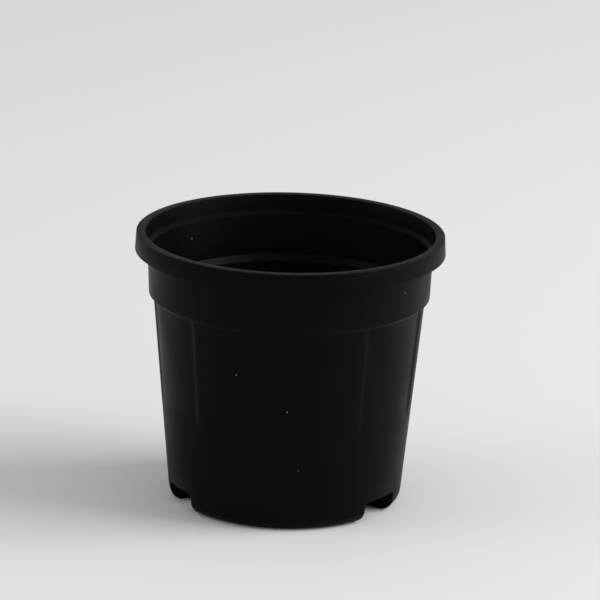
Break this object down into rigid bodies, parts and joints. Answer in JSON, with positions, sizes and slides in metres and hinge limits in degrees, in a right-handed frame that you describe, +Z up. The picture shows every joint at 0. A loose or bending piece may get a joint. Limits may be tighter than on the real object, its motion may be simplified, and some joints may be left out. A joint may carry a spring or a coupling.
{
  "type": "nursery pot",
  "caption": "Empty round black plastic nursery pot with a rolled rim, a stepped collar, a tapered wall and drainage channels under a raised floor.",
  "frame": {"origin": "middle of the ring that the pot stands on, under the pot's axis", "axes": "+Z up along the pot's axis, through the open mouth; the front is -Y"},
  "size_m": [0.13, 0.13, 0.1153],
  "materials": {
    "black_plastic": "satin moulded polypropylene"
  },
  "bodies": {
    "root": {"pot": "black_plastic"}
  },
  "joints": []
}
